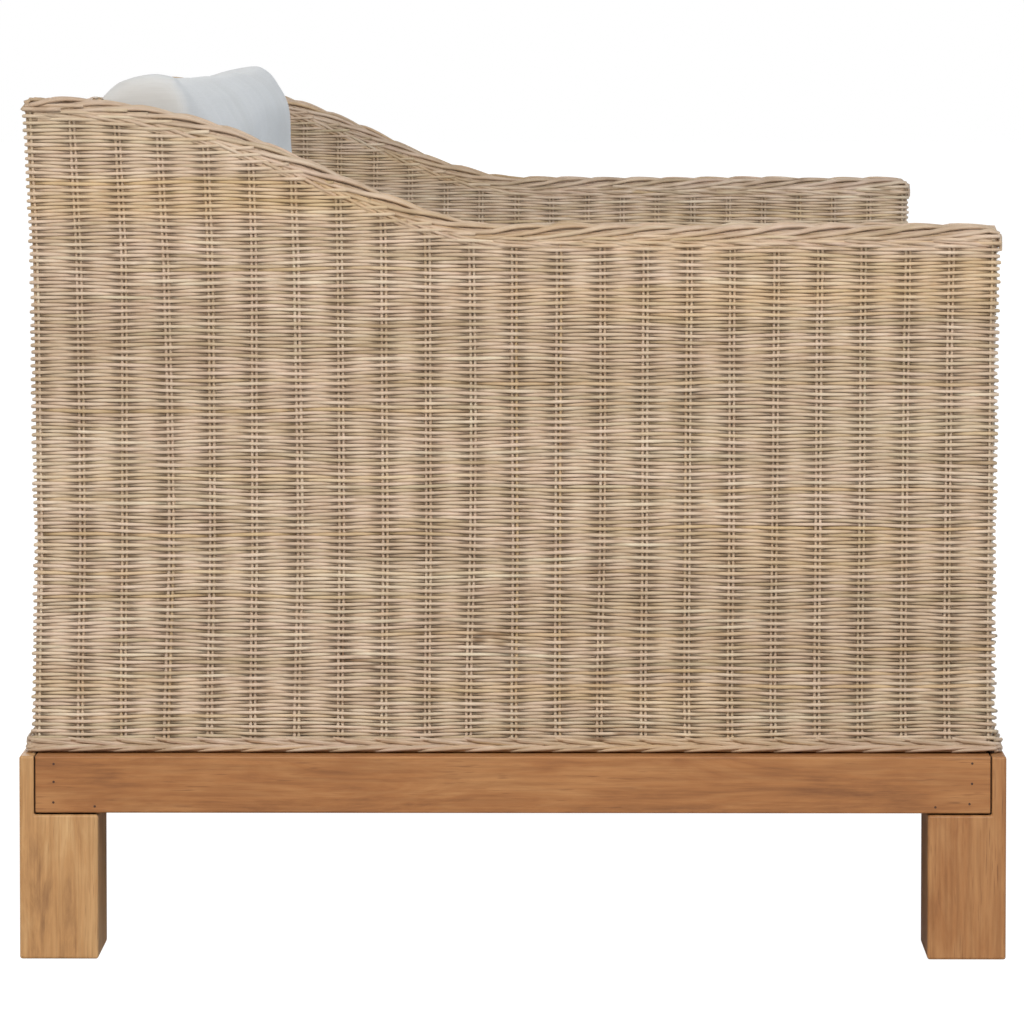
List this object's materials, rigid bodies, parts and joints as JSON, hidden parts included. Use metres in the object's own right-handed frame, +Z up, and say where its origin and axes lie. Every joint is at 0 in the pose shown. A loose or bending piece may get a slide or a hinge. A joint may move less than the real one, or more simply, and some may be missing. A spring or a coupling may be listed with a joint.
{
  "type": "daybed",
  "caption": "Long woven rattan daybed with S-curved arms and a high back on a low hardwood base with block legs, loose mattress and a long back cushion.",
  "frame": {"origin": "middle of the footprint on the floor", "axes": "+X along the length, the seat opens to -Y, +Z up"},
  "size_m": [2, 0.88, 0.79],
  "materials": {
    "base_wood": "satin oiled hardwood",
    "inner_wood": "sawn, unfinished",
    "rattan_pole": "natural rattan pole",
    "rattan_weave": "natural round-core rattan, plain woven on paired stakes",
    "rattan_plait": "natural round-core rattan, plaited",
    "cotton": "plain off-white woven cotton"
  },
  "bodies": {
    "frame": {"arm_border_left": "rattan_plait", "arm_border_right": "rattan_plait", "arm_front_left": "rattan_weave", "arm_front_right": "rattan_weave", "arm_pole_left": "rattan_pole", "arm_pole_right": "rattan_pole", "back_border": "rattan_plait", "back_top_pole": "rattan_pole", "back_weave_inner": "rattan_weave", "back_weave_outer": "rattan_weave", "corner_block_front_left": "inner_wood", "corner_block_front_right": "inner_wood", "corner_block_rear_left": "inner_wood", "corner_block_rear_right": "inner_wood", "cross_bearer_left": "inner_wood", "cross_bearer_middle": "inner_wood", "cross_bearer_right": "inner_wood", "end_rail_left": "base_wood", "end_rail_right": "base_wood", "end_weave_inner_left": "rattan_weave", "end_weave_inner_right": "rattan_weave", "end_weave_outer_left": "rattan_weave", "end_weave_outer_right": "rattan_weave", "foot_braid_front": "rattan_plait", "foot_braid_left": "rattan_plait", "foot_braid_rear": "rattan_plait", "foot_braid_right": "rattan_plait", "front_apron": "rattan_weave", "leg_front_left": "base_wood", "leg_front_right": "base_wood", "leg_rear_left": "base_wood", "leg_rear_right": "base_wood", "long_rail_front": "base_wood", "long_rail_rear": "base_wood", "post_front_left": "rattan_pole", "post_front_right": "rattan_pole", "post_rear_left": "rattan_pole", "post_rear_right": "rattan_pole", "seat_beam": "inner_wood", "seat_pole_front": "rattan_pole", "seat_pole_left": "rattan_pole", "seat_pole_rear": "rattan_pole", "seat_pole_right": "rattan_pole", "seat_prop_left": "rattan_pole", "seat_prop_middle": "rattan_pole", "seat_prop_right": "rattan_pole", "sill_pole_front": "rattan_pole", "sill_pole_left": "rattan_pole", "sill_pole_rear": "rattan_pole", "sill_pole_right": "rattan_pole", "slat_1": "inner_wood", "slat_2": "inner_wood", "slat_3": "inner_wood", "slat_4": "inner_wood", "slat_5": "inner_wood", "slat_6": "inner_wood", "slat_7": "inner_wood"},
    "mattress": {"mattress": "cotton"},
    "back_cushion": {"back_cushion": "cotton"}
  },
  "joints": [
    {"name": "mattress_lift", "type": "slide", "parent": "frame", "child": "mattress", "axis": [0, 0, 1], "range_m": [0, 0.2]},
    {"name": "back_cushion_lift", "type": "slide", "parent": "mattress", "child": "back_cushion", "axis": [0, 0, 1], "range_m": [0, 0.2]}
  ]
}
